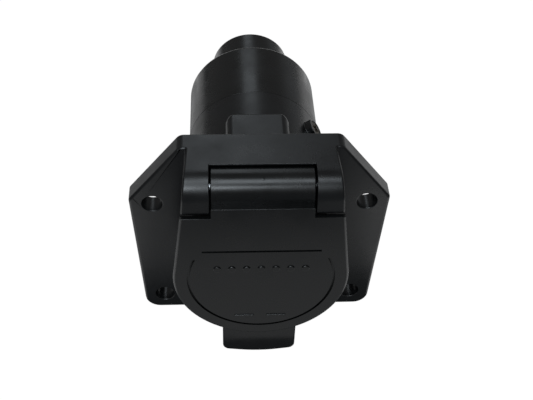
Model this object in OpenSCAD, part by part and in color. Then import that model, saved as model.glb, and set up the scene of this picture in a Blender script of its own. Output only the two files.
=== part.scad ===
// Seven-contact trailer wiring socket, vehicle side, with a sprung lid.
// Frame: +X right, +Z up, the lid faces -Y and the cable leaves towards +Y.
// The origin is on the socket's axis, in the plane of the flange's rear face.

/* [Flange] */
// Half width at the upper side corners
flange_half_w = 41.4; // [38:0.1:46]
// Half width at the top edge
flange_top_half_w = 24.7; // [23.5:0.1:30]
// Half width at the bottom edge
flange_bottom_half_w = 38.9; // [36:0.1:44]
// Height of the top edge above the socket's axis
flange_top_z = 40.1; // [38:0.1:44]
// Height of the upper side corners
flange_side_z = 18.6; // [14:0.1:22]
// Depth of the bottom edge below the socket's axis
flange_bottom_z = -34.1; // [-38:0.1:-30]
// Thickness of the flange
flange_t = 6.5; // [4:0.1:9]
// Radius of the four screw holes
hole_r = 3.2; // [2.5:0.1:3.5]
// Spacing of the two upper holes
upper_hole_gap = 68; // [64:0.1:72]
// Spacing of the two lower holes
lower_hole_gap = 64.4; // [60:0.1:68]
// Height of the upper holes
upper_hole_z = 17; // [14:0.1:18]
// Height of the lower holes
lower_hole_z = -27; // [-28:0.1:-22]

/* [Barrel] */
// Outer radius of the barrel
barrel_r = 23.5; // [23.4:0.1:24.5]
// Radius of the cavity that takes the plug
cavity_r = 21.5; // [21:0.1:21.6]
// Radius of the raised root ring and the mouth collar
collar_r = 24.6; // [24.4:0.1:25]
// Where the mouth ends
mouth_y = -19; // [-19.2:0.1:-18]
// Where the housing meets the rear cover
seam_y = 42; // [41:0.5:46]
// Rear end of the barrel
barrel_end_y = 70; // [66:0.5:78]
// Outer radius of the cable neck
neck_r = 14.9; // [13:0.1:16]
// Rear end of the cable neck
neck_end_y = 90.8; // [84:0.1:94]
// Radius of the cable hole in the grommet
cable_r = 6; // [4:0.1:8]

/* [Lid] */
// Height of the hinge pin
pin_z = 33; // [32.8:0.1:33.2]
// Distance of the hinge pin in front of the flange's rear face
pin_y = -15.6; // [-15.8:0.1:-15.4]
// Radius of the hinge pin
pin_r = 1.5; // [1.2:0.05:1.6]
// Radius of the lid's round disc
lid_r = 27.8; // [26:0.1:29]
// Half width of the lid's shoulders
lid_shoulder = 24.6; // [22:0.1:25]
// Outer face of the lid
lid_front_y = -23.8; // [-24.2:0.1:-23.6]
// Inner face of the lid
lid_back_y = -20.6; // [-20.8:0.1:-20.4]
// Lowest point of the finger tab
tab_z = -39.9; // [-41:0.1:-37]

/* [Contacts] */
// Radius of the circle that the six blades stand on
blade_circle_r = 13.5; // [12.5:0.1:14]
// Width of a blade
blade_w = 6.3; // [5:0.1:6.6]
// Thickness of a blade
blade_t = 1.5; // [1:0.1:2]
// Radius of the round centre contact
centre_r = 2.4; // [2:0.1:2.6]
// Where the tips of the blades stand, inside the mouth
blade_tip_y = -9; // [-11:0.5:-6]

/* [Hidden] */
$fn = 96;
EPS = 0.01;
FIT = 0.05;

hood_half_w = 22.7;
hood_flare = 4.7;
hood_splay = 2.6;
hood_limit_w = 26;
cut_half_w = 15.8;
cut_back_y = -13.8;
ear_r = flange_top_z - pin_z;
ear_bottom_z = 27.2;
ear_corner_r = 1.8;
swing_r = 8.85;
roll_r = 6.2;
roll_half_w = 15.4;
roll_room_r = 6.6;
lid_top_z = 27.4;
lid_crown_z = 31.2;
panel_line_z = 12.6;
groove_r = 23.4;
groove_w = 0.8;
groove_depth = 0.9;

carrier_front_y = 8;
carrier_back_y = 36;
gasket_t = 1;
shelf_y = carrier_back_y + gasket_t;
shelf_t = 2.5;
shelf_r = 19.5;
spigot_len = 8;
spigot_r = 21.4;
seal_r = 0.6;
seal_y = seam_y + 4;
seal_centre_r = 20.98;
cover_bore_r = 21.6;
neck_wall = 2.2;
key_half_w = 4.5;
key_r = 23.6;
boss_half_w = 10.5;
boss_top_z = 28;
boss_end_y = 24.6;
block_end_y = 46;
block_inner_r = 10.5;
block_outer_r = 16.5;
block_half_w = 3;
screw_y = 41.5;
screw_r = 1.5;
lock_y = 32.2;
lock_angle = 55;
lock_r = 1.6;
lock_boss_r = 3.7;
lock_head_r = 2.8;
lock_seat_r = 24.4;
blade_angles = [30, 90, 150, 210, 270, 330];

spring_r = 2.6;
wire_r = 0.45;
fixed_leg_angle = -55;
lid_leg_angle = -105;
spring_turns = 5 + (lid_leg_angle - fixed_leg_angle + 180) / 360;
spring_pitch = 1.2;
ring_sides = 8;
spring_steps = 96;

// Turns a shape drawn in X and Y, and raised along Z, so that it lies in X and Z and runs along +Y.
module along_y(from_y) translate([0, from_y, 0]) rotate([-90, 0, 0]) mirror([0, 1, 0]) children();

// A solid rod along Y.
module rod_y(r, from_y, to_y) along_y(from_y) cylinder(r = r, h = to_y - from_y);

// A tube along Y.
module tube_y(r, bore, from_y, to_y) difference() {
    rod_y(r, from_y, to_y);
    rod_y(bore, from_y - 1, to_y + 1);
}

// A rod along X, centred on the hinge.
module hinge_rod(r, half_w) translate([-half_w, pin_y, pin_z]) rotate([0, 90, 0]) cylinder(r = r, h = 2 * half_w);

// The points of an outline whose corners, given anticlockwise as [x, y, radius], are rounded.
function unit(v) = v / norm(v);
function corner_arc(a, b, c, r, steps = 6) =
    let (u = unit([a[0] - b[0], a[1] - b[1]]), v = unit([c[0] - b[0], c[1] - b[1]]),
         half = acos(u * v) / 2, mid = [b[0], b[1]] + unit(u + v) * r / sin(half),
         start = atan2(-u[1] - v[1], -u[0] - v[0]), swing = 90 - half)
    [for (i = [0:steps]) mid + r * [cos(start + swing * (2 * i / steps - 1)), sin(start + swing * (2 * i / steps - 1))]];
function rounded(points) = let (n = len(points))
    [for (i = [0:n - 1]) each corner_arc(points[(i + n - 1) % n], points[i], points[(i + 1) % n], points[i][2])];

module flange_plate() along_y(-flange_t) linear_extrude(flange_t) polygon(rounded([
    [flange_top_half_w, flange_top_z, 2.8], [-flange_top_half_w, flange_top_z, 2.8],
    [-flange_half_w, flange_side_z, 2], [-flange_bottom_half_w, flange_bottom_z, 5],
    [flange_bottom_half_w, flange_bottom_z, 5], [flange_half_w, flange_side_z, 2]]));

module flange_holes() for (side = [-1, 1]) {
    translate([side * upper_hole_gap / 2, 0, upper_hole_z]) rod_y(hole_r, -flange_t - 1, 1);
    translate([side * lower_hole_gap / 2, 0, lower_hole_z]) rod_y(hole_r, -flange_t - 1, 1);
}

// The hood over the hinge, seen from above, with its profile of two rounded ears.
module hood() difference() {
    hood_profile();
    hood_side();
    mirror([1, 0, 0]) hood_side();
}

// What lies outside the hood's right side, which leans out towards the front and towards the bottom.
module hood_side() translate([hood_half_w, -flange_t, flange_top_z]) rotate([0, 0, hood_splay])
    rotate([0, -hood_flare, 0]) translate([0, -30, -30]) cube([12, 60, 60]);

module hood_profile() intersection() {
    translate([-hood_limit_w, pin_y - ear_r - 1, ear_bottom_z])
        cube([2 * hood_limit_w, ear_r + 1 - pin_y - flange_t + EPS, flange_top_z - ear_bottom_z]);
    union() {
        hinge_rod(ear_r, hood_limit_w + 1);
        translate([-hood_limit_w - 1, pin_y, ear_bottom_z])
            cube([2 * hood_limit_w + 2, -pin_y, flange_top_z - ear_bottom_z]);
        translate([-hood_limit_w - 1, pin_y - ear_r, ear_bottom_z + ear_corner_r])
            cube([2 * hood_limit_w + 2, ear_r, pin_z - ear_bottom_z - ear_corner_r]);
        translate([-hood_limit_w - 1, pin_y - ear_r + ear_corner_r, ear_bottom_z])
            cube([2 * hood_limit_w + 2, ear_r - ear_corner_r, pin_z - ear_bottom_z]);
        translate([0, ear_corner_r - ear_r, ear_bottom_z + ear_corner_r - pin_z])
            hinge_rod(ear_corner_r, hood_limit_w + 1);
    }
}

// The room between the ears where the lid's roll turns.
module roll_room() {
    hinge_rod(roll_room_r, cut_half_w);
    translate([-cut_half_w, pin_y - ear_r - 2, ear_bottom_z - 1])
        cube([2 * cut_half_w, cut_back_y - pin_y + ear_r + 2, flange_top_z - ear_bottom_z + 2]);
    translate([-cut_half_w, pin_y, ear_bottom_z - 1]) cube([2 * cut_half_w, roll_room_r, pin_z - ear_bottom_z + 1]);
}

// Draws children at the side screw, with +Z pointing out of the barrel.
module at_lock() translate([0, lock_y, 0]) rotate([0, lock_angle, 0]) children();

// The boss on top of the barrel that gives the keyway its wall.
module key_boss() intersection() {
    along_y(-EPS) linear_extrude(boss_end_y + 1) polygon(rounded([
        [boss_half_w, boss_top_z, 2.6], [-boss_half_w, boss_top_z, 2.6],
        [-boss_half_w, 18, 0.4], [boss_half_w, 18, 0.4]]));
    linear_extrude(boss_top_z + 1) polygon(rounded([
        [boss_half_w, -1, 0.4], [boss_half_w, boss_end_y, 3.2],
        [-boss_half_w, boss_end_y, 3.2], [-boss_half_w, -1, 0.4]]));
}

module housing() {
    color("#23262a") difference() {
        union() {
            flange_plate();
            hood();
            rod_y(collar_r, mouth_y, 17);
            rod_y(barrel_r, 0, seam_y);
            rod_y(spigot_r, seam_y - EPS, seam_y + spigot_len);
            key_boss();
            at_lock() cylinder(r = lock_boss_r, h = lock_seat_r + 1.4);
        }
        flange_holes();
        roll_room();
        hinge_rod(pin_r, 20.4);
        rod_y(cavity_r, mouth_y - 1, shelf_y);
        rod_y(shelf_r, mouth_y, seam_y + spigot_len + 1);
        rod_y(20, shelf_y + shelf_t, seam_y + spigot_len + 1);
        translate([-key_half_w, mouth_y - 1, 10]) cube([2 * key_half_w, carrier_front_y + 8 - mouth_y, key_r - 10]);
        tube_y(spigot_r + 1, seal_centre_r - seal_r - 0.02, seal_y - seal_r - 0.1, seal_y + seal_r + 0.1);
        at_lock() cylinder(r = lock_r + FIT, h = 40);
        at_lock() translate([0, 0, lock_seat_r]) cylinder(r = lock_head_r + 0.1, h = 10);
    }
}

module rear_cover() {
    edge = 2.2;
    lip = 1.2;
    color("#17191b") rotate([-90, 0, 0]) rotate_extrude() polygon(concat(
        [[cover_bore_r, seam_y + 0.3], [barrel_r - 0.3, seam_y + 0.3], [barrel_r, seam_y + 0.6]],
        [for (a = [0:15:90]) [barrel_r - edge + edge * cos(a), barrel_end_y - edge + edge * sin(a)]],
        [for (a = [0:30:90]) [neck_r + lip - lip * sin(a), barrel_end_y + lip - lip * cos(a)]],
        [for (a = [0:15:90]) [neck_r - lip + lip * cos(a), neck_end_y - lip + lip * sin(a)]],
        [[neck_r - neck_wall, neck_end_y], [neck_r - neck_wall, barrel_end_y - 2.4],
         [cover_bore_r, barrel_end_y - 2.4]]));
}

module cover_seal() {
    color("#101010") translate([0, seal_y, 0]) rotate([-90, 0, 0]) rotate_extrude()
        translate([seal_centre_r, 0]) circle(r = seal_r, $fn = 24);
}

module cable_grommet() {
    bush_r = neck_r - neck_wall - FIT;
    color("#141414") rotate([-90, 0, 0]) rotate_extrude() polygon([
        [cable_r, barrel_end_y - 5.4], [bush_r + 2.2, barrel_end_y - 5.4], [bush_r + 2.2, barrel_end_y - 2.45],
        [bush_r, barrel_end_y - 2.45], [bush_r, neck_end_y - 2], [bush_r - 1, neck_end_y - 1],
        [cable_r + 1, neck_end_y - 1], [cable_r, neck_end_y - 2]]);
}

// The lid's outline: a disc with square shoulders under the ears.
module lid_outline() {
    circle(r = lid_r);
    polygon([[lid_r * cos(4), lid_r * sin(4)], [lid_shoulder, lid_top_z], [-lid_shoulder, lid_top_z],
             [-lid_r * cos(4), lid_r * sin(4)]]);
}

module lid_blank() {
    difference() {
        intersection() {
            along_y(lid_front_y) linear_extrude(lid_back_y - lid_front_y) lid_outline();
            translate([-40, -40, -40]) cube([80, 80, 40 + lid_top_z]);
        }
        hinge_rod(swing_r, 30);
    }
    // Finger tab, set back behind the outer face.
    along_y(lid_front_y + 1.2) linear_extrude(lid_back_y - lid_front_y - 1.2) polygon(rounded([
        [12.3, -20, 1], [-12.3, -20, 1], [-12.3, tab_z + 1.9, 2.4], [0, tab_z, 44], [12.3, tab_z + 1.9, 2.4]]));
    // Roll around the hinge pin, the web that carries the disc, and the face between the ears.
    hinge_rod(roll_r, roll_half_w);
    translate([-roll_half_w, pin_y - roll_r, lid_top_z - 2])
        cube([2 * roll_half_w, lid_back_y - pin_y + roll_r, pin_z - lid_top_z + 2]);
    translate([-roll_half_w, lid_front_y, lid_top_z - 2])
        cube([2 * roll_half_w, lid_back_y - lid_front_y, lid_crown_z - lid_top_z + 2]);
    // Catch that holds the plug.
    translate([-3.5, lid_back_y - EPS, 14]) cube([7, 4.2, 1.8]);
    translate([-3.5, lid_back_y + 2.6, 14]) cube([7, 1.6, 3.6]);
}

// The line and the arc pressed into the lid's face.
module panel_groove() along_y(lid_front_y - 1) linear_extrude(1 + groove_depth) {
    translate([-18.4, panel_line_z]) square([36.8, groove_w]);
    difference() {
        circle(r = groove_r);
        circle(r = groove_r - groove_w);
        translate([-30, 9.5]) square([60, 30]);
    }
}

// The pocket in the roll for the spring, open at the back, with room for the leg that presses on the lid.
module spring_pocket() {
    hinge_rod(3.6, 5);
    translate([-5, pin_y, pin_z]) rotate([90, 0, 90]) linear_extrude(10) polygon(concat(
        [[-3.5, 1.4], [-5.05, -6.4], [-5.05, -9]],
        [for (a = [-90, -55, -20, 20, 52]) 9 * [cos(a), sin(a)]]));
}

module lid() {
    color("#1e2124") difference() {
        lid_blank();
        hinge_rod(pin_r + 0.06, 30);
        spring_pocket();
        panel_groove();
    }
}

module lid_gasket() color("#121212") tube_y(24, 20.4, lid_back_y, lid_back_y + 1.3);

module hinge_pin() color("#b9bcc0") hinge_rod(pin_r, 20.2);

// A torsion spring wound round the hinge pin, as a swept ring of points. One leg presses on the
// mouth collar and the other on the lid.
function coil_angle(s) = fixed_leg_angle + 90 + 360 * s;
function coil_point(s) = let (a = coil_angle(s))
    [(s - spring_turns / 2) * spring_pitch, spring_r * cos(a), spring_r * sin(a)];
function coil_ring(s) = let (a = coil_angle(s))
    [for (k = [0:ring_sides - 1]) let (b = 360 * k / ring_sides)
        coil_point(s) + [wire_r * sin(b), wire_r * cos(b) * cos(a), wire_r * cos(b) * sin(a)]];
function moved(points, by) = [for (p = points) p + by];
function leg(angle, length) = length * [0, cos(angle), sin(angle)];
module lid_spring() {
    rings = concat(moved(coil_ring(0), leg(fixed_leg_angle, 7)),
        [for (i = [0:spring_steps]) each coil_ring(spring_turns * i / spring_steps)],
        moved(coil_ring(spring_turns), leg(lid_leg_angle, 7.6)));
    last = spring_steps + 2;
    sides = [for (i = [0:last - 1], k = [0:ring_sides - 1])
        let (a = i * ring_sides, b = a + ring_sides, n = (k + 1) % ring_sides) [a + k, a + n, b + n, b + k]];
    ends = [[for (k = [ring_sides - 1:-1:0]) k], [for (k = [0:ring_sides - 1]) last * ring_sides + k]];
    color("#a8abae") translate([0, pin_y, pin_z])
        polyhedron(points = rings, faces = concat(sides, ends), convexity = 6);
}

// Draws children at one blade: +Z points outwards from the socket's axis.
module at_blade(angle) rotate([0, angle, 0]) children();

module blade_slot(extra) translate([-blade_w / 2 - extra, 0, blade_circle_r - blade_t / 2 - extra])
    cube([blade_w + 2 * extra, carrier_back_y + 1, blade_t + 2 * extra]);

module contact_carrier() {
    color("#1b1b1c") difference() {
        union() {
            rod_y(cavity_r - FIT, carrier_front_y, carrier_back_y);
            translate([-key_half_w + 0.2, carrier_front_y, 10])
                cube([2 * key_half_w - 0.4, 6.6, key_r - 10.2]);
        }
        for (angle = blade_angles) at_blade(angle) blade_slot(FIT);
        rod_y(centre_r + FIT, 0, carrier_back_y + 1);
        at_lock() cylinder(r = lock_r + FIT, h = 40);
        at_lock() translate([-2.85, -2.85, 17]) cube([5.7, 5.7, 2.4]);
    }
}

module carrier_gasket() color("#101010") tube_y(cavity_r - 0.1, shelf_r + 0.05, carrier_back_y, shelf_y);

// One flat contact with its wire clamp behind the carrier.
module blade(angle) {
    color("#c9a24a") at_blade(angle) difference() {
        union() {
            translate([-blade_w / 2, blade_tip_y + 1.5, blade_circle_r - blade_t / 2])
                cube([blade_w, carrier_back_y + 1 - blade_tip_y, blade_t]);
            translate([-blade_w / 2 + 0.8, blade_tip_y, blade_circle_r - blade_t / 4])
                cube([blade_w - 1.6, 2, blade_t / 2]);
            translate([-block_half_w, carrier_back_y + FIT, block_inner_r])
                cube([2 * block_half_w, block_end_y - carrier_back_y - FIT, block_outer_r - block_inner_r]);
        }
        translate([0, 0, 12.9]) rod_y(1.7, carrier_back_y + 2.6, block_end_y + 1);
        translate([0, screw_y, 12.9]) cylinder(r = screw_r + FIT, h = 8);
    }
}

module ground_blade() blade(blade_angles[0]);
module brake_blade() blade(blade_angles[5]);
module running_light_blade() blade(blade_angles[1]);
module charge_line_blade() blade(blade_angles[4]);
module left_turn_blade() blade(blade_angles[3]);
module right_turn_blade() blade(blade_angles[2]);

module reverse_light_pin() {
    color("#c9a24a") difference() {
        union() {
            rod_y(centre_r, blade_tip_y + 1, carrier_back_y + 1);
            translate([0, blade_tip_y + 1, 0]) sphere(r = centre_r - EPS, $fn = 48);
            rod_y(3.6, carrier_back_y + FIT, block_end_y);
        }
        rod_y(1.7, carrier_back_y + 2.6, block_end_y + 1);
        translate([0, screw_y, 0]) cylinder(r = screw_r + FIT, h = 8);
    }
}

// A slotted clamp screw that points outwards along +Z.
module clamp_screw(tip_z, seat_z) difference() {
    union() {
        translate([0, 0, tip_z]) cylinder(r = screw_r, h = seat_z - tip_z + EPS);
        translate([0, 0, seat_z]) cylinder(r = 2.5, h = 1.8);
    }
    translate([-3, -0.4, seat_z + 0.9]) cube([6, 0.8, 2]);
}

module terminal_screws() color("#c8cacc") {
    for (angle = blade_angles) at_blade(angle) translate([0, screw_y, 0]) clamp_screw(13.6, block_outer_r + FIT);
    translate([0, screw_y, 0]) clamp_screw(0.7, 3.7);
}

module retaining_screw() color("#b79a5c") at_lock() difference() {
    union() {
        translate([0, 0, 12.5]) cylinder(r = lock_r, h = lock_seat_r - 12);
        translate([0, 0, lock_seat_r + FIT]) cylinder(r = lock_head_r, h = 1.2);
    }
    for (turn = [0, 90]) rotate([0, 0, turn]) translate([-1.7, -0.4, lock_seat_r + 0.5]) cube([3.4, 0.8, 4]);
}

module retaining_nut() color("#c9a24a") at_lock() difference() {
    translate([-2.75, -2.75, 17.05]) cube([5.5, 5.5, 2.3]);
    cylinder(r = lock_r + 0.02, h = 40);
}

housing();
rear_cover();
cover_seal();
cable_grommet();
lid();
lid_gasket();
hinge_pin();
lid_spring();
contact_carrier();
carrier_gasket();
ground_blade();
brake_blade();
running_light_blade();
charge_line_blade();
left_turn_blade();
right_turn_blade();
reverse_light_pin();
terminal_screws();
retaining_screw();
retaining_nut();
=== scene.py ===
"""The looks of a seven-contact trailer wiring socket: finishes, rounded edges, small parts, light and camera."""

import logging
import math
from dataclasses import dataclass
from enum import Enum
from typing import Any, Callable, Sequence

import bmesh
import bpy
from mathutils import Matrix, Vector


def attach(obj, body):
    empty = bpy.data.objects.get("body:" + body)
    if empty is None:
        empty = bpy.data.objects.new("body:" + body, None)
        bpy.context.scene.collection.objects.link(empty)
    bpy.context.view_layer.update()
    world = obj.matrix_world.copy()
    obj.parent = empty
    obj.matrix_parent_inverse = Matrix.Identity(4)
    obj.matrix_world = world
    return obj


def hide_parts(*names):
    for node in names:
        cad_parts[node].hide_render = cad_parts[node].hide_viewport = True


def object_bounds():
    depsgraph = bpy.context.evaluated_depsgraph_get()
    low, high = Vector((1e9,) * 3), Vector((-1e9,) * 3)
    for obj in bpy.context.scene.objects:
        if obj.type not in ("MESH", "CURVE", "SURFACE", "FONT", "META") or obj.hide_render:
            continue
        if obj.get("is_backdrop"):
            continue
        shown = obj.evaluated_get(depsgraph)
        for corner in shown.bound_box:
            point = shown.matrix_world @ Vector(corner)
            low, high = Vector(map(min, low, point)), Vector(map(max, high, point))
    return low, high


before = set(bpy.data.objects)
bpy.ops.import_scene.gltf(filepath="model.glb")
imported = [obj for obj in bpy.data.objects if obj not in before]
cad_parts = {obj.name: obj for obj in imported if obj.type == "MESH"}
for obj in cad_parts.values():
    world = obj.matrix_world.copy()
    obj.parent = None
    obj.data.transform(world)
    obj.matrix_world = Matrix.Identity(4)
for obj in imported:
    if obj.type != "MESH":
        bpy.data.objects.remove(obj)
CAD_LOW, CAD_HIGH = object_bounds()

LOG = logging.getLogger("trailer_socket")
MM = 0.001
PIN_Y, PIN_Z = -15.6, 33.0

Profile = list[tuple[float, float]]
Point = tuple[float, float, float]


class Body(Enum):
    """The bodies that pieces ride on."""

    SOCKET = "socket"
    LID = "lid_flap"


# ---------------------------------------------------------------- finishes


def linear(hex_colour: str) -> tuple[float, float, float, float]:
    """Turns an sRGB hex colour to linear light.

    Args:
        hex_colour: Six hex digits with or without a leading #.

    Returns:
        Linear red, green and blue, with an alpha of 1.
    """
    digits = hex_colour.lstrip("#")
    parts = [int(digits[i : i + 2], 16) / 255 for i in (0, 2, 4)]
    red, green, blue = [c / 12.92 if c <= 0.04045 else ((c + 0.055) / 1.055) ** 2.4 for c in parts]
    return red, green, blue, 1.0


def add_node(
    tree: bpy.types.NodeTree,
    kind: str,
    props: dict[str, Any] | None = None,
    values: dict[Any, Any] | None = None,
    links: dict[Any, bpy.types.NodeSocket] | None = None,
) -> bpy.types.Node:
    """Adds one node to a tree.

    Args:
        tree: The node tree.
        kind: The node's bl_idname.
        props: The node's own settings.
        values: Input values by input name or index.
        links: Output sockets to join to inputs, by input name or index.

    Returns:
        The new node.
    """
    node = tree.nodes.new(kind)
    for key, value in (props or {}).items():
        setattr(node, key, value)
    for key, value in (values or {}).items():
        node.inputs[key].default_value = value
    for key, socket in (links or {}).items():
        tree.links.new(socket, node.inputs[key])
    return node


@dataclass(frozen=True)
class Finish:
    """What every finish has: a name for the real material and how its surface was made."""

    name: str

    def build(self, tree: bpy.types.NodeTree, shader: bpy.types.Node) -> None:
        """Adds this finish's nodes around the shader; each finish has its own."""
        raise NotImplementedError

    def material(self) -> bpy.types.Material:
        """Returns the finish's material, made the first time it is asked for."""
        found = bpy.data.materials.get(self.name)
        if found:
            return found
        made = bpy.data.materials.new(self.name)
        made.use_nodes = True
        tree = made.node_tree
        tree.nodes.clear()
        shader = add_node(tree, "ShaderNodeBsdfPrincipled")
        add_node(tree, "ShaderNodeOutputMaterial", links={"Surface": shader.outputs["BSDF"]})
        self.build(tree, shader)
        return made


@dataclass(frozen=True)
class MouldedPlastic(Finish):
    """Injection-moulded nylon: dull black, with the mould's spark-eroded grain and a slight cloudiness.

    The grain is drawn coarser than the real 0.15 mm so that it shows.
    """

    dark: str
    light: str
    roughness: float
    rough_spread: float = 0.08
    grain_mm: float = 0.45
    grain_height_mm: float = 0.012
    cloud_mm: float = 14.0
    specular: float = 0.5

    def build(self, tree: bpy.types.NodeTree, shader: bpy.types.Node) -> None:
        """Adds grain and cloudiness."""
        place = add_node(tree, "ShaderNodeTexCoord").outputs["Object"]
        grain = add_node(
            tree, "ShaderNodeTexNoise",
            values={"Scale": 1 / (self.grain_mm * MM), "Detail": 3.0, "Roughness": 0.6},
            links={"Vector": place},
        )
        cloud = add_node(
            tree, "ShaderNodeTexNoise",
            values={"Scale": 1 / (self.cloud_mm * MM), "Detail": 4.0, "Roughness": 0.55},
            links={"Vector": place},
        )
        speckle = add_node(
            tree, "ShaderNodeMath", {"operation": "MULTIPLY_ADD"},
            values={1: 0.6, 2: 0.0}, links={0: grain.outputs["Fac"]},
        )
        mixed = add_node(
            tree, "ShaderNodeMath", {"operation": "MULTIPLY_ADD"},
            values={1: 0.5}, links={0: cloud.outputs["Fac"], 2: speckle.outputs[0]},
        )
        colour = add_node(
            tree, "ShaderNodeMix", {"data_type": "RGBA"},
            values={6: linear(self.dark), 7: linear(self.light)}, links={0: mixed.outputs[0]},
        )
        rough = add_node(
            tree, "ShaderNodeMapRange",
            values={
                "From Min": 0.3, "From Max": 0.7,
                "To Min": self.roughness - self.rough_spread, "To Max": self.roughness + self.rough_spread,
            },
            links={"Value": cloud.outputs["Fac"]},
        )
        bump = add_node(
            tree, "ShaderNodeBump",
            values={"Strength": 1.0, "Distance": self.grain_height_mm * MM},
            links={"Height": grain.outputs["Fac"]},
        )
        shader.inputs["IOR"].default_value = 1.53
        shader.inputs["Specular IOR Level"].default_value = self.specular
        tree.links.new(colour.outputs[2], shader.inputs["Base Color"])
        tree.links.new(rough.outputs["Result"], shader.inputs["Roughness"])
        tree.links.new(bump.outputs["Normal"], shader.inputs["Normal"])


@dataclass(frozen=True)
class MouldedRubber(Finish):
    """Moulded rubber: very dull and nearly black, with dust in a soft mottle."""

    dark: str = "#0c0c0c"
    dust: str = "#1d1c1b"
    roughness: float = 0.72

    def build(self, tree: bpy.types.NodeTree, shader: bpy.types.Node) -> None:
        """Adds the mottle and a fine pitted skin."""
        place = add_node(tree, "ShaderNodeTexCoord").outputs["Object"]
        mottle = add_node(
            tree, "ShaderNodeTexNoise", values={"Scale": 1 / (3 * MM), "Detail": 5.0}, links={"Vector": place}
        )
        pits = add_node(
            tree, "ShaderNodeTexVoronoi", values={"Scale": 1 / (0.5 * MM)}, links={"Vector": place}
        )
        colour = add_node(
            tree, "ShaderNodeMix", {"data_type": "RGBA"},
            values={6: linear(self.dark), 7: linear(self.dust)}, links={0: mottle.outputs["Fac"]},
        )
        bump = add_node(
            tree, "ShaderNodeBump",
            values={"Strength": 0.6, "Distance": 0.01 * MM}, links={"Height": pits.outputs["Distance"]},
        )
        shader.inputs["Roughness"].default_value = self.roughness
        tree.links.new(colour.outputs[2], shader.inputs["Base Color"])
        tree.links.new(bump.outputs["Normal"], shader.inputs["Normal"])


@dataclass(frozen=True)
class WorkedMetal(Finish):
    """A metal whose tool marks run one way, such as a ground pin, drawn wire or a stamped blade."""

    bright: str
    tarnish: str
    roughness: float
    mark_mm: float
    stretch: tuple[float, float, float] = (1.0, 0.06, 1.0)

    def build(self, tree: bpy.types.NodeTree, shader: bpy.types.Node) -> None:
        """Adds tool marks stretched along Y and patches of tarnish."""
        place = add_node(tree, "ShaderNodeTexCoord").outputs["Object"]
        along = add_node(
            tree, "ShaderNodeMapping", values={"Scale": self.stretch}, links={"Vector": place}
        )
        marks = add_node(
            tree, "ShaderNodeTexNoise",
            values={"Scale": 1 / (self.mark_mm * MM), "Detail": 4.0}, links={"Vector": along.outputs[0]},
        )
        patches = add_node(
            tree, "ShaderNodeTexNoise", values={"Scale": 1 / (4 * MM), "Detail": 5.0}, links={"Vector": place}
        )
        share = add_node(
            tree, "ShaderNodeMapRange",
            values={"From Min": 0.42, "From Max": 0.68}, links={"Value": patches.outputs["Fac"]},
        )
        colour = add_node(
            tree, "ShaderNodeMix", {"data_type": "RGBA"},
            values={6: linear(self.bright), 7: linear(self.tarnish)}, links={0: share.outputs["Result"]},
        )
        rough = add_node(
            tree, "ShaderNodeMapRange",
            values={"To Min": self.roughness * 0.75, "To Max": self.roughness * 1.3},
            links={"Value": marks.outputs["Fac"]},
        )
        bump = add_node(
            tree, "ShaderNodeBump",
            values={"Strength": 0.5, "Distance": 0.004 * MM}, links={"Height": marks.outputs["Fac"]},
        )
        shader.inputs["Metallic"].default_value = 1.0
        tree.links.new(colour.outputs[2], shader.inputs["Base Color"])
        tree.links.new(rough.outputs["Result"], shader.inputs["Roughness"])
        tree.links.new(bump.outputs["Normal"], shader.inputs["Normal"])


HOUSING_FINISH = MouldedPlastic("Nylon_spark_textured_moulded", "#060707", "#121315", 0.3, grain_height_mm=0.02)
LID_FINISH = MouldedPlastic("Nylon_fine_textured_lid", "#060707", "#0e0f10", 0.27, grain_height_mm=0.009)
COVER_FINISH = MouldedPlastic(
    "Nylon_smooth_moulded_barrel", "#050606", "#0c0d0d", 0.27, grain_height_mm=0.004, cloud_mm=9.0
)
CARRIER_FINISH = MouldedPlastic("Phenolic_moulded_insulator", "#100f0e", "#1c1a19", 0.45, grain_height_mm=0.005)
RUBBER_FINISH = MouldedRubber("Rubber_moulded_seal")
PIN_FINISH = WorkedMetal("Steel_ground_pin", "#c9ccd0", "#8d9094", 0.24, 0.2)
SPRING_FINISH = WorkedMetal("Spring_wire_drawn", "#a9acb0", "#6d6f73", 0.3, 0.15)
SCREW_FINISH = WorkedMetal("Steel_zinc_plated_screw", "#c4c8cc", "#94979a", 0.32, 0.3)
# Painted shade: the side screw's two colours are far darker than yellow zinc plating. They stand in for the shade
# it sits in beside the flange.
SHADED_LOCK_FINISH = WorkedMetal("Steel_yellow_zinc_screw", "#4c453a", "#26221c", 0.45, 0.3)
BRASS_FINISH = WorkedMetal("Brass_stamped_contact", "#d6b45c", "#94743a", 0.28, 0.25)


# ---------------------------------------------------------------- mesh helpers


def new_object(name: str, mesh: bpy.types.Mesh) -> bpy.types.Object:
    """Links a new object with a mesh into the scene."""
    made = bpy.data.objects.new(name, mesh)
    bpy.context.scene.collection.objects.link(made)
    return made


def settle(obj: bpy.types.Object) -> bpy.types.Object:
    """Turns an object with modifiers into a plain mesh with the same look."""
    graph = bpy.context.evaluated_depsgraph_get()
    shown = obj.evaluated_get(graph)
    mesh = bpy.data.meshes.new_from_object(shown, preserve_all_data_layers=True, depsgraph=graph)
    mesh.name = obj.name
    obj.modifiers.clear()
    obj.data = mesh
    return obj


def dress(obj: bpy.types.Object, finish: Finish, body: Body, slot: str, *nodes: str) -> bpy.types.Object:
    """Gives a piece its finish and its body, and hides the CAD nodes it stands for.

    Args:
        obj: The piece.
        finish: Its finish.
        body: The body it rides on.
        slot: The record's material slot. Not used.
        nodes: The CAD nodes it replaces.

    Returns:
        The piece.
    """
    obj.data.materials.clear()
    obj.data.materials.append(finish.material())
    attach(obj, body.value)
    if nodes:
        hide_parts(*nodes)
    LOG.info("%s: %d faces, %s", obj.name, len(obj.data.polygons), finish.name)
    return obj


def level(value: float, target: float, slack: float = 0.05) -> bool:
    """Tells whether two places along an axis are the same, within a slack in millimetres."""
    return abs(value - target) < slack


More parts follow.
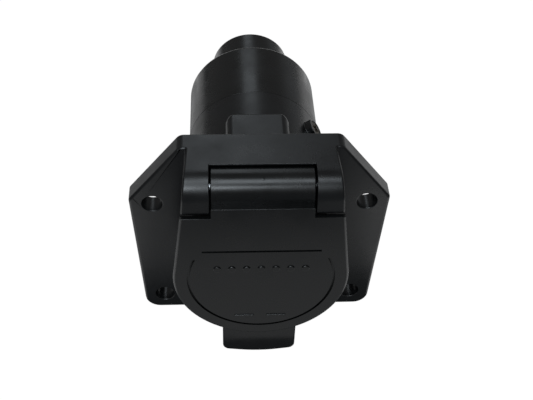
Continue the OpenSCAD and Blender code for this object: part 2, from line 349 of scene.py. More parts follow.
def cad_copy(node: str, name: str, flat_deg: float = 0.6) -> bpy.types.Object:
    """Copies a CAD node's mesh, with its loose triangles merged and each flat face made one face.

    Args:
        node: The CAD node.
        name: The new piece's name.
        flat_deg: Faces closer than this angle count as one flat face.

    Returns:
        The new piece.
    """
    shape = bmesh.new()
    shape.from_mesh(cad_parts[node].data)
    bmesh.ops.remove_doubles(shape, verts=shape.verts, dist=0.001 * MM)
    bmesh.ops.dissolve_limit(shape, angle_limit=math.radians(flat_deg), verts=shape.verts, edges=shape.edges)
    mesh = bpy.data.meshes.new(name)
    shape.to_mesh(mesh)
    shape.free()
    return new_object(name, mesh)


def round_edges(
    obj: bpy.types.Object, radius_mm: Callable[[Vector, bmesh.types.BMEdge], float], sharp_deg: float = 28.0,
    segments: int = 3,
) -> bpy.types.Object:
    """Rounds a piece's sharp edges, each by its own radius, and shades it smooth.

    Args:
        obj: The piece.
        radius_mm: Gives the rounding of an edge from its middle, in millimetres, and the edge.
        sharp_deg: Edges that turn by less than this stay as they are.
        segments: Steps across each rounding.

    Returns:
        The piece.
    """
    shape = bmesh.new()
    shape.from_mesh(obj.data)
    weight = shape.edges.layers.float.new("bevel_weight_edge")
    largest = 2.0
    for edge in shape.edges:
        if edge.is_manifold and edge.calc_face_angle(0.0) > math.radians(sharp_deg):
            middle = (edge.verts[0].co + edge.verts[1].co) / 2 / MM
            edge[weight] = min(1.0, radius_mm(middle, edge) / largest)
    shape.to_mesh(obj.data)
    shape.free()
    bevel = obj.modifiers.new("Rounding", "BEVEL")
    bevel.width = largest * MM
    bevel.limit_method = "WEIGHT"
    bevel.offset_type = "OFFSET"
    bevel.segments = segments
    bevel.use_clamp_overlap = False
    bevel.miter_outer = "MITER_ARC"
    return smooth(settle(obj))


def smooth(obj: bpy.types.Object, sharp_deg: float = 34.0) -> bpy.types.Object:
    """Shades a piece smooth, with its large faces kept flat."""
    obj.data.shade_smooth()
    obj.data.set_sharp_from_angle(angle=math.radians(sharp_deg))
    weighted = obj.modifiers.new("Normals", "WEIGHTED_NORMAL")
    weighted.keep_sharp = True
    weighted.weight = 80
    return flatten(settle(obj))


def flatten(obj: bpy.types.Object, area_mm2: float = 110.0, near_deg: float = 17.0) -> bpy.types.Object:
    """Turns the normals round each large flat face to that face's own, so that it shades as a plane."""
    mesh = obj.data
    normals = [corner.vector.copy() for corner in mesh.corner_normals]
    planes: dict[int, list[Vector]] = {}
    for face in mesh.polygons:
        if face.area > area_mm2 * MM * MM:
            for vertex in face.vertices:
                planes.setdefault(vertex, []).append(face.normal.copy())
    for face in mesh.polygons:
        spots = [mesh.vertices[v].co for v in face.vertices]
        for index in face.loop_indices:
            for plane in planes.get(mesh.loops[index].vertex_index, ()):
                within = all(abs((spot - spots[0]).dot(plane)) < 0.004 * MM for spot in spots)
                if within or normals[index].angle(plane, 0.0) < math.radians(near_deg):
                    normals[index] = plane
    mesh.normals_split_custom_set(normals)
    split = obj.modifiers.new("Split", "TRIANGULATE")
    split.min_vertices = 5
    split.ngon_method = "BEAUTY"
    split.keep_custom_normals = True
    return settle(obj)


def filleted(corners: Sequence[tuple[float, float, float]], steps: int = 5) -> Profile:
    """Rounds the corners of a closed outline.

    Args:
        corners: Each corner's two coordinates and its radius.
        steps: Steps along each round corner.

    Returns:
        The outline's points.
    """
    outline: Profile = []
    for i, (x, y, radius) in enumerate(corners):
        here = Vector((x, y))
        if radius <= 0:
            outline.append((x, y))
            continue
        before = (Vector(corners[i - 1][:2]) - here).normalized()
        after = (Vector(corners[(i + 1) % len(corners)][:2]) - here).normalized()
        half = before.angle(after) / 2
        centre = here + (before + after).normalized() * radius / math.sin(half)
        start = here + before * radius / math.tan(half) - centre
        end = here + after * radius / math.tan(half) - centre
        turn = start.angle_signed(end)
        for step in range(steps + 1):
            spoke = start.copy()
            spoke.rotate(Matrix.Rotation(-turn * step / steps, 2))
            outline.append(tuple(centre + spoke))
    return outline


def lathe(name: str, outline_mm: Profile, sides: int = 96) -> bpy.types.Object:
    """Spins a closed outline round the socket's axis.

    Args:
        name: The new piece's name.
        outline_mm: Points as radius and distance along Y, in millimetres.
        sides: Steps round the axis.

    Returns:
        The new piece.
    """
    shape = bmesh.new()
    rings = []
    for i in range(sides):
        angle = 2 * math.pi * i / sides
        rings.append([
            shape.verts.new((r * MM * math.sin(angle), y * MM, r * MM * math.cos(angle))) for r, y in outline_mm
        ])
    count = len(outline_mm)
    for i in range(sides):
        here, beyond = rings[i], rings[(i + 1) % sides]
        for k in range(count):
            n = (k + 1) % count
            shape.faces.new((here[k], here[n], beyond[n], beyond[k]))
    bmesh.ops.remove_doubles(shape, verts=shape.verts, dist=0.001 * MM)
    bmesh.ops.recalc_face_normals(shape, faces=shape.faces)
    mesh = bpy.data.meshes.new(name)
    shape.to_mesh(mesh)
    shape.free()
    return new_object(name, mesh)


def swept(name: str, path_mm: Sequence[Vector], radius_mm: float, sides: int) -> bpy.types.Object:
    """Sweeps a round wire along a path and closes both ends.

    Args:
        name: The new piece's name.
        path_mm: The wire's middle, in millimetres.
        radius_mm: The wire's radius.
        sides: Steps round the wire.

    Returns:
        The new piece.
    """
    shape = bmesh.new()
    rings = []
    side = Vector((1, 0, 0))
    for i, point in enumerate(path_mm):
        along = (path_mm[min(i + 1, len(path_mm) - 1)] - path_mm[max(i - 1, 0)]).normalized()
        side = (side - along * side.dot(along)).normalized()
        up = along.cross(side)
        spokes = [(math.cos(2 * math.pi * k / sides), math.sin(2 * math.pi * k / sides)) for k in range(sides)]
        rings.append([shape.verts.new((point + (side * c + up * s) * radius_mm) * MM) for c, s in spokes])
    for here, beyond in zip(rings, rings[1:]):
        for k in range(sides):
            shape.faces.new((here[k], here[(k + 1) % sides], beyond[(k + 1) % sides], beyond[k]))
    shape.faces.new(reversed(rings[0]))
    shape.faces.new(rings[-1])
    bmesh.ops.recalc_face_normals(shape, faces=shape.faces)
    mesh = bpy.data.meshes.new(name)
    shape.to_mesh(mesh)
    shape.free()
    return new_object(name, mesh)


def rounded_box(name: str, size_mm: Point, radius_mm: float) -> bpy.types.Object:
    """Makes a small box with rounded edges, centred on the origin.

    Args:
        name: The new piece's name.
        size_mm: Its three sides.
        radius_mm: The rounding of its edges.

    Returns:
        The new piece.
    """
    shape = bmesh.new()
    bmesh.ops.create_cube(shape, size=1.0)
    bmesh.ops.scale(shape, vec=Vector(size_mm) * MM, verts=shape.verts)
    bmesh.ops.bevel(shape, geom=shape.edges, offset=radius_mm * MM, segments=3, profile=0.5, affect="EDGES")
    mesh = bpy.data.meshes.new(name)
    shape.to_mesh(mesh)
    shape.free()
    return new_object(name, mesh)


def cut(obj: bpy.types.Object, cutter: bpy.types.Object) -> bpy.types.Object:
    """Cuts one piece out of another and removes the cutter.

    Args:
        obj: The piece to cut.
        cutter: The shape that is taken away.

    Returns:
        The cut piece.
    """
    bite = obj.modifiers.new("Cut", "BOOLEAN")
    bite.operation = "DIFFERENCE"
    bite.solver = "EXACT"
    bite.object = cutter
    settle(obj)
    bpy.data.objects.remove(cutter)
    return obj


def copies_tree() -> bpy.types.NodeTree:
    """Builds the Geometry Nodes group that sets a pattern on every point.

    Its inputs are Geometry (the points, with a turn attribute), Pattern and Finish. It ends in
    Realize Instances and Set Material.

    Returns:
        The node group, made the first time it is asked for.
    """
    found = bpy.data.node_groups.get("pattern_on_points")
    if found:
        return found
    tree = bpy.data.node_groups.new("pattern_on_points", "GeometryNodeTree")
    tree.interface.new_socket("Geometry", in_out="INPUT", socket_type="NodeSocketGeometry")
    tree.interface.new_socket("Pattern", in_out="INPUT", socket_type="NodeSocketObject")
    tree.interface.new_socket("Finish", in_out="INPUT", socket_type="NodeSocketMaterial")
    tree.interface.new_socket("Geometry", in_out="OUTPUT", socket_type="NodeSocketGeometry")
    given = add_node(tree, "NodeGroupInput")
    pattern = add_node(tree, "GeometryNodeObjectInfo", links={"Object": given.outputs["Pattern"]})
    turn = add_node(
        tree, "GeometryNodeInputNamedAttribute", {"data_type": "FLOAT_VECTOR"}, values={"Name": "turn"}
    )
    placed = add_node(
        tree, "GeometryNodeInstanceOnPoints",
        links={
            "Points": given.outputs["Geometry"], "Instance": pattern.outputs["Geometry"],
            "Rotation": turn.outputs["Attribute"],
        },
    )
    whole = add_node(tree, "GeometryNodeRealizeInstances", links={"Geometry": placed.outputs["Instances"]})
    coated = add_node(
        tree, "GeometryNodeSetMaterial",
        links={"Geometry": whole.outputs["Geometry"], "Material": given.outputs["Finish"]},
    )
    add_node(tree, "NodeGroupOutput", links={"Geometry": coated.outputs["Geometry"]})
    return tree


def copies(
    name: str, pattern: bpy.types.Object, spots_mm: Sequence[Point], turns: Sequence[Point], finish: "Finish"
) -> bpy.types.Object:
    """Sets copies of a pattern on points, as one piece, and removes the pattern.

    Args:
        name: The new piece's name.
        pattern: The shape to copy.
        spots_mm: Where each copy goes, in millimetres.
        turns: Each copy's turn as Euler angles in radians.
        finish: The copies' finish.

    Returns:
        The new piece.
    """
    mesh = bpy.data.meshes.new(name)
    mesh.from_pydata([Vector(spot) * MM for spot in spots_mm], [], [])
    turned = mesh.attributes.new("turn", "FLOAT_VECTOR", "POINT")
    turned.data.foreach_set("vector", [angle for turn in turns for angle in turn])
    piece = new_object(name, mesh)
    tree = copies_tree()
    names = {item.name: item.identifier for item in tree.interface.items_tree if item.in_out == "INPUT"}
    setter = piece.modifiers.new("Copies", "NODES")
    setter.node_group = tree
    setter[names["Pattern"]] = pattern
    setter[names["Finish"]] = finish.material()
    settle(piece)
    bpy.data.objects.remove(pattern)
    return piece


# ---------------------------------------------------------------- the socket's parts


@dataclass
class Housing:
    """The moulded flange, hood, mouth and front barrel, which are one moulding."""

    rim_mm: float = 1.0
    rear_rim_mm: float = 0.5
    ear_mm: float = 0.7
    boss_mm: float = 0.9
    hole_mm: float = 0.35
    mouth_mm: float = 0.4
    seam_mm: float = 0.08
    small_mm: float = 0.22
    holes: tuple[tuple[float, float], ...] = ((34.0, 17.0), (32.2, -27.0))
    near_hole: float = 3.6
    flange_front_y: float = -6.5
    mouth_y: float = -19.0
    seam_y: float = 42.0
    ear_x: float = 22.3
    ear_z: float = 27.0
    boss_x: float = 10.6
    boss_z: float = 24.7
    ejector_r: float = 2.2
    ejector_spots: tuple[tuple[float, float], ...] = ((-33.0, -5.0), (33.0, -5.0), (-14.0, -30.5), (14.0, -30.5))

    def rounding(self, middle: Vector, edge: bmesh.types.BMEdge) -> float:
        """Gives each edge of the moulding its rounding in millimetres.

        Args:
            middle: The edge's middle, in millimetres.
            edge: The edge.

        Returns:
            The radius in millimetres.
        """
        if not edge.is_convex:
            return self.small_mm
        from_axis = math.hypot(middle.x, middle.z)
        if any(math.hypot(abs(middle.x) - x, middle.z - z) < self.near_hole for x, z in self.holes):
            return self.hole_mm
        if abs(middle.x) > self.ear_x and middle.z > self.ear_z and middle.y < self.flange_front_y + 0.2:
            return self.ear_mm
        if level(middle.y, self.flange_front_y) and from_axis > 25.5:
            return self.rim_mm
        if level(middle.y, 0.0) and from_axis > 28.5:
            return self.rear_rim_mm
        if level(middle.y, self.seam_y):
            return self.seam_mm
        if middle.y > 1 and middle.z > self.boss_z and abs(middle.x) < self.boss_x:
            return self.boss_mm
        if level(middle.y, self.mouth_y) and from_axis > 23:
            return self.mouth_mm
        return self.small_mm

    def marks(self) -> None:
        """Adds the ejector pins' shallow round marks on the flange's rear face."""
        r = self.ejector_r
        outline = filleted([(0, -0.04, 0), (r, -0.04, 0.05), (r, 0.09, 0.05), (0, 0.09, 0)], 2)
        disc = lathe("ejector_mark_pattern", outline, 32)
        spots = [(x, 0.0, z) for x, z in self.ejector_spots]
        piece = copies("flange_ejector_marks", disc, spots, [(0.0, 0.0, 0.0)] * len(spots), HOUSING_FINISH)
        dress(piece, HOUSING_FINISH, Body.SOCKET, "housing_plastic")

    def build(self) -> None:
        """Makes and dresses the housing."""
        piece = round_edges(cad_copy("housing", "housing_moulding"), self.rounding)
        dress(piece, HOUSING_FINISH, Body.SOCKET, "housing_plastic", "housing")
        self.marks()


@dataclass
class RearCover:
    """The rear barrel with its cable neck, the ring that seals it and the cable grommet."""

    seam_y: float = 42.0
    end_y: float = 70.0
    barrel_r: float = 23.5
    bore_r: float = 21.6
    neck_r: float = 14.9
    neck_wall: float = 2.2
    neck_end_y: float = 90.8
    cable_r: float = 6.0
    seal_r: float = 0.6
    seal_centre_r: float = 20.98
    seal_sides: int = 16
    grommet_ribs: int = 12
    rib_circle_r: float = 10.9

    def shell(self) -> None:
        """Spins the cover: a barrel with a chamfered seam, a rounded end, a neck and its mouth."""
        inner = self.neck_r - self.neck_wall
        outline = filleted([
            (self.bore_r, self.seam_y + 0.04, 0.1), (self.barrel_r + 0.02, self.seam_y + 0.04, 0.08),
            (self.barrel_r, self.end_y, 2.0), (self.neck_r + 0.02, self.end_y, 1.0),
            (self.neck_r - 0.12, self.neck_end_y, 0.9), (inner, self.neck_end_y, 0.5),
            (inner, self.end_y - 2.4, 0.3), (self.bore_r, self.end_y - 2.4, 1.0),
        ], 6)
        piece = smooth(lathe("rear_cover_moulding", outline, 144))
        dress(piece, COVER_FINISH, Body.SOCKET, "cover_plastic", "rear_cover")

    def seal(self) -> None:
        """Spins the ring in the spigot's groove."""
        turns = [2 * math.pi * i / self.seal_sides for i in range(self.seal_sides)]
        r, centre_r, centre_y = self.seal_r, self.seal_centre_r, self.seam_y + 4
        ring = [(centre_r + r * math.cos(a), centre_y + r * math.sin(a)) for a in turns]
        piece = smooth(lathe("cover_seal_ring", ring), 180)
        dress(piece, RUBBER_FINISH, Body.SOCKET, "seal_rubber", "cover_seal")

    def grommet(self) -> None:
        """Spins the cable grommet with two inner lips, and sets short ribs round its rear face."""
        bush = self.neck_r - self.neck_wall - 0.05
        front, rear = self.end_y - 5.4, self.neck_end_y - 1.0
        bore = self.cable_r
        outline = filleted([
            (bore + 0.1, front, 0.5), (bush + 2.15, front, 0.4), (bush + 2.15, front + 2.9, 0.4),
            (bush, front + 2.95, 0.2), (bush - 0.02, rear - 0.2, 0.8), (bush - 2.6, rear, 0.4),
            (bush - 3.2, rear - 0.9, 0.4), (bore + 1.4, rear - 0.7, 0.4), (bore, rear - 1.6, 0.5),
            (bore + 0.02, rear - 5, 0.3), (bore + 0.7, rear - 6, 0.3),
            (bore + 0.7, rear - 9, 0.3), (bore + 0.02, rear - 10, 0.3), (bore + 0.02, rear - 14, 0.3),
            (bore + 0.7, rear - 15, 0.3), (bore + 0.7, rear - 18, 0.3), (bore + 0.1, rear - 19, 0.3),
        ], 4)
        piece = smooth(lathe("cable_grommet_bush", outline))
        dress(piece, RUBBER_FINISH, Body.SOCKET, "seal_rubber", "cable_grommet")
        rib = rounded_box("grommet_rib_pattern", (1.1, 0.9, 2.0), 0.3)
        spots, turns = [], []
        for i in range(self.grommet_ribs):
            angle = 2 * math.pi * i / self.grommet_ribs
            spots.append((self.rib_circle_r * math.sin(angle), rear - 0.5, self.rib_circle_r * math.cos(angle)))
            turns.append((0.0, angle, 0.0))
        piece = copies("cable_grommet_ribs", rib, spots, turns, RUBBER_FINISH)
        dress(piece, RUBBER_FINISH, Body.SOCKET, "seal_rubber")

    def build(self) -> None:
        """Makes the cover, its seal and the grommet."""
        self.shell()
        self.seal()
        self.grommet()


@dataclass
class Lid:
    """The hinged lid with its roll, finger tab, catch, marks and seal."""

    rim_mm: float = 0.9
    back_rim_mm: float = 0.3
    tab_mm: float = 0.6
    crown_mm: float = 0.12
    shoulder_mm: float = 0.12
    roll_end_mm: float = 0.35
    small_mm: float = 0.15
    crown_z: float = 31.2
    shoulder_z: float = 27.4
    disc_edge_r: float = 27.2
    side_x: float = 23.4
    roll_half_w: float = 15.4
    roll_r: float = 6.2
    tab_top_z: float = -24.0
    front_y: float = -23.8
    back_y: float = -20.6
    pip_r: float = 1.25
    pip_gap: float = 4.6
    pip_row_z: float = 5.0
    pips: int = 7
    bar_size: Point = (6.4, 0.6, 1.0)
    bar_spot: tuple[float, float] = (5.2, -18.1)
    gate_deg: float = 62.0

    def rounding(self, middle: Vector, edge: bmesh.types.BMEdge) -> float:
        """Gives each edge of the lid its rounding in millimetres.

        Args:
            middle: The edge's middle, in millimetres.
            edge: The edge.

        Returns:
            The radius in millimetres.
        """
        if not edge.is_convex:
            return 0.0
        from_axis = math.hypot(middle.x, middle.z)
        on_face = level(middle.y, self.front_y)
        on_side = from_axis > self.disc_edge_r or abs(middle.x) > self.side_x
        if middle.z < self.tab_top_z and not level(middle.y, self.front_y, 0.1):
            return self.tab_mm if from_axis > 28 else 0.2
        if on_face and middle.z > self.crown_z - 0.3:
            return self.crown_mm
        if on_face and middle.z > self.shoulder_z - 0.3:
            return self.shoulder_mm
        if on_face and on_side:
            return self.rim_mm
        if middle.y < self.front_y + 1.0 and from_axis < self.disc_edge_r:
            return 0.0
        if level(abs(middle.x), self.roll_half_w):
            return self.roll_end_mm
        if level(middle.y, self.back_y) and (on_side or middle.z > self.shoulder_z - 0.3):
            return self.back_rim_mm
        return self.small_mm

    def marks(self) -> None:
        """Sets seven plain pips in a row on the lid's face, and two short bars near its foot."""
        r = self.pip_r
        pip = lathe("pip_pattern", filleted([(0, 0.3, 0), (0, -0.35, 0), (r, -0.35, 0.25), (r, 0.3, 0)], 3), 32)
        middle = (self.pips - 1) / 2
        spots = [((i - middle) * self.pip_gap, self.front_y, self.pip_row_z) for i in range(self.pips)]
        row = copies("lid_pips", pip, spots, [(0.0, 0.0, 0.0)] * self.pips, LID_FINISH)
        dress(row, LID_FINISH, Body.LID, "lid_plastic")
        out, up = self.bar_spot
        bar = rounded_box("bar_pattern", self.bar_size, 0.2)
        spots = [(side * out, self.front_y, up) for side in (-1, 1)]
        bars = copies("lid_bars", bar, spots, [(0.0, 0.0, 0.0)] * len(spots), LID_FINISH)
        dress(bars, LID_FINISH, Body.LID, "lid_plastic")

    def gate(self) -> None:
        """Adds the small broken-off gate mark on top of the roll."""
        outline = filleted([(0, 0.1, 0), (0, -0.12, 0), (0.45, -0.05, 0.1), (0.6, 0.1, 0)], 3)
        stub = lathe("gate_pattern", outline, 24)
        angle = math.radians(self.gate_deg)
        spot = (0.0, PIN_Y - self.roll_r * math.cos(angle), PIN_Z + self.roll_r * math.sin(angle))
        mark = copies("lid_gate_mark", stub, [spot], [(-angle, 0.0, 0.0)], LID_FINISH)
        dress(mark, LID_FINISH, Body.LID, "lid_plastic")

    def seal(self) -> None:
        """Spins the flat lid seal with its two lips."""
        back = self.back_y
        outline = filleted([
            (20.4, back, 0.1), (20.4, back + 1.1, 0.3), (20.9, back + 1.3, 0.2), (21.4, back + 0.9, 0.2),
            (23.0, back + 0.9, 0.2), (23.5, back + 1.3, 0.2), (24.0, back + 1.1, 0.3), (24.0, back, 0.1),
        ], 3)
        piece = smooth(lathe("lid_seal_ring", outline, 128))
        dress(piece, RUBBER_FINISH, Body.LID, "seal_rubber", "lid_gasket")

    def build(self) -> None:
        """Makes and dresses the lid, its marks and its seal."""
        piece = round_edges(cad_copy("lid", "lid_moulding"), self.rounding)
        dress(piece, LID_FINISH, Body.LID, "lid_plastic", "lid")
        self.marks()
        self.gate()
        self.seal()


@dataclass
class Hinge:
    """The hinge pin and the torsion spring wound round it."""

    pin_r: float = 1.5
    half_length: float = 20.2
    coil_r: float = 2.6
    wire_r: float = 0.45
    pitch: float = 1.2
    coils: int = 5
    coil_steps: int = 220
    fixed_leg_deg: float = -55.0
    fixed_leg: float = 7.0
    lid_leg_deg: float = -105.0
    lid_leg: float = 7.6
    pressed_rings: tuple[float, ...] = (-18.6, -17.9, 17.9, 18.6)

    def pin(self) -> None:
        """Spins the pin with its chamfered ends and two shallow pressed rings."""
        r, half = self.pin_r, self.half_length
        outline = [(0.0, -half), (r - 0.35, -half), (r, -half + 0.5)]
        for ring in self.pressed_rings:
            outline += [(r, ring - 0.12), (r - 0.08, ring), (r, ring + 0.12)]
        outline += [(r, half - 0.5), (r - 0.35, half), (0.0, half)]
        piece = lathe("hinge_pin_rod", outline, 48)
        turned = Matrix.Rotation(math.pi / 2, 4, "Z")
        piece.data.transform(Matrix.Translation((0, PIN_Y * MM, PIN_Z * MM)) @ turned)
        dress(smooth(piece), PIN_FINISH, Body.SOCKET, "pin_steel", "hinge_pin")

    def spring(self) -> None:
        """Sweeps the wire round its five coils and out along its two legs."""
        turns = self.coils + (self.lid_leg_deg - self.fixed_leg_deg + 180) / 360
        path = []
        for i in range(self.coil_steps + 1):
            share = turns * i / self.coil_steps
            angle = math.radians(self.fixed_leg_deg + 90 + 360 * share)
            across = (share - turns / 2) * self.pitch
            path.append(Vector((across, self.coil_r * math.cos(angle), self.coil_r * math.sin(angle))))
        legs = ((True, self.fixed_leg_deg, self.fixed_leg), (False, self.lid_leg_deg, self.lid_leg))
        for first, leg_deg, length in legs:
            along = Vector((0, math.cos(math.radians(leg_deg)), math.sin(math.radians(leg_deg))))
            tip = (path[0] if first else path[-1]) + along * length
            if first:
                path.insert(0, tip)
            else:
                path.append(tip)
        piece = swept("lid_spring_wire", [p + Vector((0, PIN_Y, PIN_Z)) for p in path], self.wire_r, 12)
        dress(smooth(piece, 50), SPRING_FINISH, Body.SOCKET, "spring_steel", "lid_spring")

    def build(self) -> None:
        """Makes the pin and the spring."""
        self.pin()
        self.spring()


@dataclass
class Contacts:
    """The insulator, the seven contacts, their clamp screws, and the screw and nut that hold the insulator."""

    tip_y: float = -9.0
    block_front_y: float = 36.0
    screw_y: float = 41.5
    seat_r: float = 16.5
    centre_seat: float = 3.7
    gasket_t: float = 1.0
    gasket_radii: tuple[float, float] = (19.55, 21.4)
    angles_deg: tuple[int, ...] = (30, 90, 150, 210, 270, 330)
    blades: tuple[str, ...] = (
        "ground_blade", "running_light_blade", "right_turn_blade",
        "left_turn_blade", "charge_line_blade", "brake_blade",
    )

    def insulator_rounding(self, middle: Vector, edge: bmesh.types.BMEdge) -> float:
        """Gives each edge of the insulator its rounding in millimetres."""
        return 0.5 if math.hypot(middle.x, middle.z) > 20 else 0.2

    def blade_rounding(self, middle: Vector, edge: bmesh.types.BMEdge) -> float:
        """Gives each edge of a contact its rounding in millimetres: most at the tip."""
        if middle.y < self.tip_y + 2:
            return 0.3
        return 0.12 if middle.y < self.block_front_y else 0.25

    def clamp_screw(self) -> bpy.types.Object:
        """Makes the pattern for a clamp screw: a threaded shank and a domed, slotted head, along Z."""
        outline: Profile = [(0.0, -3.0), (0.9, -3.0)]
        for i in range(7):
            outline += [(1.48, -2.75 + 0.4 * i), (1.2, -2.55 + 0.4 * i)]
        outline += [(1.4, 0.0), (2.2, 0.0), (2.48, 0.3), (2.48, 1.2), (2.1, 1.6), (1.2, 1.78), (0.0, 1.8)]
        turned = lathe("clamp_screw_pattern", outline, 40)
        turned.data.transform(Matrix.Rotation(math.pi / 2, 4, "X"))
        slot = rounded_box("slot_cutter", (6.4, 0.8, 2.4), 0.02)
        slot.data.transform(Matrix.Translation((0, 0, 2.1 * MM)))
        return cut(turned, slot)

    def screws(self) -> None:
        """Sets a clamp screw at every terminal."""
        spots, turns = [(0.0, self.screw_y, self.centre_seat)], [(0.0, 0.0, 0.0)]
        for degrees in self.angles_deg:
            angle = math.radians(degrees)
            out = self.seat_r + 0.05
            spots.append((out * math.sin(angle), self.screw_y, out * math.cos(angle)))
            turns.append((0.0, angle, 0.0))
        piece = copies("terminal_clamp_screws", self.clamp_screw(), spots, turns, SCREW_FINISH)
        dress(smooth(piece), SCREW_FINISH, Body.SOCKET, "screw_steel", "terminal_screws")

    def insulator(self) -> None:
        """Makes the insulator and the flat gasket behind it."""
        piece = round_edges(cad_copy("contact_carrier", "contact_carrier_moulding"), self.insulator_rounding)
        dress(piece, CARRIER_FINISH, Body.SOCKET, "carrier_plastic", "contact_carrier")
        front, back = self.block_front_y, self.block_front_y + self.gasket_t
        inner, outer = self.gasket_radii
        outline = filleted([(inner, front, 0.2), (outer, front, 0.2), (outer, back, 0.2), (inner, back, 0.2)], 3)
        ring = smooth(lathe("carrier_gasket_ring", outline))
        dress(ring, RUBBER_FINISH, Body.SOCKET, "seal_rubber", "carrier_gasket")

    def build(self) -> None:
        """Makes the insulator, contacts, clamp screws, and the side screw and its nut."""
        self.insulator()
        for node in (*self.blades, "reverse_light_pin"):
            piece = round_edges(cad_copy(node, node + "_contact"), self.blade_rounding)
            dress(piece, BRASS_FINISH, Body.SOCKET, "contact_brass", node)
        self.screws()
        # The side screw's finish carries painted shade in its darkened colours.
        screw = round_edges(cad_copy("retaining_screw", "retaining_side_screw"), lambda middle, edge: 0.15)
        dress(screw, SHADED_LOCK_FINISH, Body.SOCKET, "screw_brass", "retaining_screw")
        nut = round_edges(cad_copy("retaining_nut", "retaining_square_nut"), lambda middle, edge: 0.2)
        dress(nut, BRASS_FINISH, Body.SOCKET, "contact_brass", "retaining_nut")


@dataclass(frozen=True)
class Lamp:
    """One soft rectangular light: its place, its sides in metres, its power, the point it faces and its colour."""

    name: str
    place: Point
    sides: tuple[float, float]
    watts: float
    aim: Point = (0.0, 0.02, 0.02)
    tint: Point = (0.91, 1.0, 1.07)


def card(name: str, x: float, y: float, sides: tuple[float, float], watts: float) -> Lamp:
    """Describes a glowing card that lies flat and lights the socket from below, as white paper does."""
    return Lamp(name, (x, y, CAD_LOW.z - 0.1 * MM), sides, watts, (x, y + 0.0001, 1.0), (1.0, 1.0, 1.0))


LAMPS = (
    Lamp("strip_behind_above", (-0.05, 0.78, 0.78), (0.26, 0.7), 0.53),
    Lamp("over_front", (-0.1, -0.34, 0.94), (0.6, 0.3), 1.8),
    Lamp("front_high", (-0.2, -0.57, 0.82), (0.4, 0.3), 0.8),
    Lamp("front_middle", (-0.18, -0.8, 0.6), (0.4, 0.26), 2.3),
    Lamp("front_low", (-0.2, -0.9, 0.42), (0.4, 0.25), 0.35),
    Lamp("right_wall", (0.75, 0.75, 0.15), (0.8, 0.35), 0.1),
    card("card_front", 0.0, -0.0565, (0.3, 0.057), 0.0135),
    card("card_left", -0.17, 0.2, (0.26, 0.36), 0.112),
    card("card_right", 0.17, 0.2, (0.26, 0.36), 0.132),
    card("card_right_far", 0.45, 0.45, (0.3, 0.5), 0.27),
    card("card_left_front", -0.08, -0.03, (0.07, 0.08), 0.009),
    card("card_right_front", 0.08, -0.03, (0.07, 0.08), 0.009),
    card("card_back", 0.0, 0.42, (0.2, 0.5), 0.16),
)


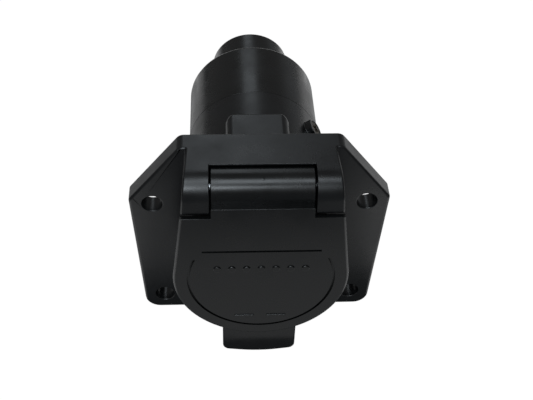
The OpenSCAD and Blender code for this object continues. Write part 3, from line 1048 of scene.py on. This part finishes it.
@dataclass
class Studio:
    """The pale floor, the soft lights and the camera."""

    place_mm: Point = (-12.1, -208.4, 216.6)
    yaw_deg: float = 3.63
    pitch_deg: float = 44.46
    roll_deg: float = 1.81
    lens_mm: float = 60.7
    floor_half_m: float = 3.0
    floor_gap_mm: float = 0.2
    floor_glow: float = 1.04
    glow_share: float = 0.96
    walls: float = 0.16

    def camera(self) -> None:
        """Places the camera in front of and above the socket."""
        yaw, pitch, roll = (math.radians(a) for a in (self.yaw_deg, self.pitch_deg, self.roll_deg))
        ahead = Vector((math.sin(yaw) * math.cos(pitch), math.cos(yaw) * math.cos(pitch), -math.sin(pitch)))
        right = Vector((math.cos(yaw), -math.sin(yaw), 0))
        up = right.cross(ahead)
        side = right * math.cos(roll) + up * math.sin(roll)
        top = up * math.cos(roll) - right * math.sin(roll)
        lens = bpy.data.cameras.new("Camera")
        lens.lens = self.lens_mm
        lens.sensor_width = 36.0
        lens.shift_x = 0.0077
        lens.clip_start = 0.005
        camera = bpy.data.objects.new("Camera", lens)
        turn = Matrix((side, top, -ahead)).transposed().to_4x4()
        camera.matrix_world = Matrix.Translation(Vector(self.place_mm) * MM) @ turn
        bpy.context.scene.collection.objects.link(camera)
        bpy.context.scene.camera = camera

    def floor(self) -> None:
        """Lays the floor just under the lowest point of the socket.

        Seen directly it is nearly white with a soft shadow; in reflections it is plain grey paper.
        """
        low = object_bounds()[0].z - self.floor_gap_mm * MM
        half = self.floor_half_m
        mesh = bpy.data.meshes.new("floor")
        corners = [(-half, -half, low), (half, -half, low), (half, half, low), (-half, half, low)]
        mesh.from_pydata(corners, [], [(0, 1, 2, 3)])
        floor = new_object("floor", mesh)
        made = bpy.data.materials.new("Paper_matt_floor")
        made.use_nodes = True
        tree = made.node_tree
        tree.nodes.clear()
        paper = add_node(tree, "ShaderNodeBsdfDiffuse", values={"Color": linear("#e6e6e6")})
        dull = add_node(tree, "ShaderNodeBsdfDiffuse", values={"Color": linear("#7c7c7c")})
        glow = add_node(
            tree, "ShaderNodeEmission", values={"Color": linear("#ffffff"), "Strength": self.floor_glow}
        )
        seen = add_node(
            tree, "ShaderNodeMixShader",
            values={0: self.glow_share}, links={1: paper.outputs[0], 2: glow.outputs[0]},
        )
        path = add_node(tree, "ShaderNodeLightPath")
        both = add_node(
            tree, "ShaderNodeMixShader",
            links={0: path.outputs["Is Camera Ray"], 1: dull.outputs[0], 2: seen.outputs[0]},
        )
        add_node(tree, "ShaderNodeOutputMaterial", links={"Surface": both.outputs[0]})
        mesh.materials.append(made)
        floor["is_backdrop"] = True

    def light(self, lamp: Lamp) -> None:
        """Hangs one lamp and turns it towards the socket."""
        made = bpy.data.lights.new(lamp.name, "AREA")
        made.shape = "RECTANGLE"
        made.size, made.size_y = lamp.sides
        made.energy = lamp.watts
        made.color = lamp.tint
        holder = bpy.data.objects.new(lamp.name, made)
        holder.location = lamp.place
        holder.rotation_mode = "QUATERNION"
        holder.rotation_quaternion = (Vector(lamp.aim) - Vector(lamp.place)).to_track_quat("-Z", "Y")
        holder.visible_camera = False
        bpy.context.scene.collection.objects.link(holder)

    def surround(self) -> None:
        """Adds the dim walls round the studio, which look white where the camera sees them directly."""
        world = bpy.data.worlds.new("studio_walls")
        world.use_nodes = True
        tree = world.node_tree
        path = add_node(tree, "ShaderNodeLightPath")
        strength = add_node(
            tree, "ShaderNodeMapRange",
            values={"To Min": self.walls, "To Max": 1.0}, links={"Value": path.outputs["Is Camera Ray"]},
        )
        tree.nodes["Background"].inputs["Color"].default_value = (1, 1, 1, 1)
        tree.links.new(strength.outputs["Result"], tree.nodes["Background"].inputs["Strength"])
        bpy.context.scene.world = world

    def build(self) -> None:
        """Sets up the whole studio."""
        self.camera()
        self.floor()
        for lamp in LAMPS:
            self.light(lamp)
        self.surround()
        bpy.context.scene.view_settings.view_transform = "Standard"


def main() -> None:
    """Builds the studio and every part in order."""
    logging.basicConfig(level=logging.INFO, format="%(name)s %(message)s")
    Studio().build()
    for part in (Housing(), RearCover(), Lid(), Hinge(), Contacts()):
        part.build()


if __name__ == "__main__":
    main()
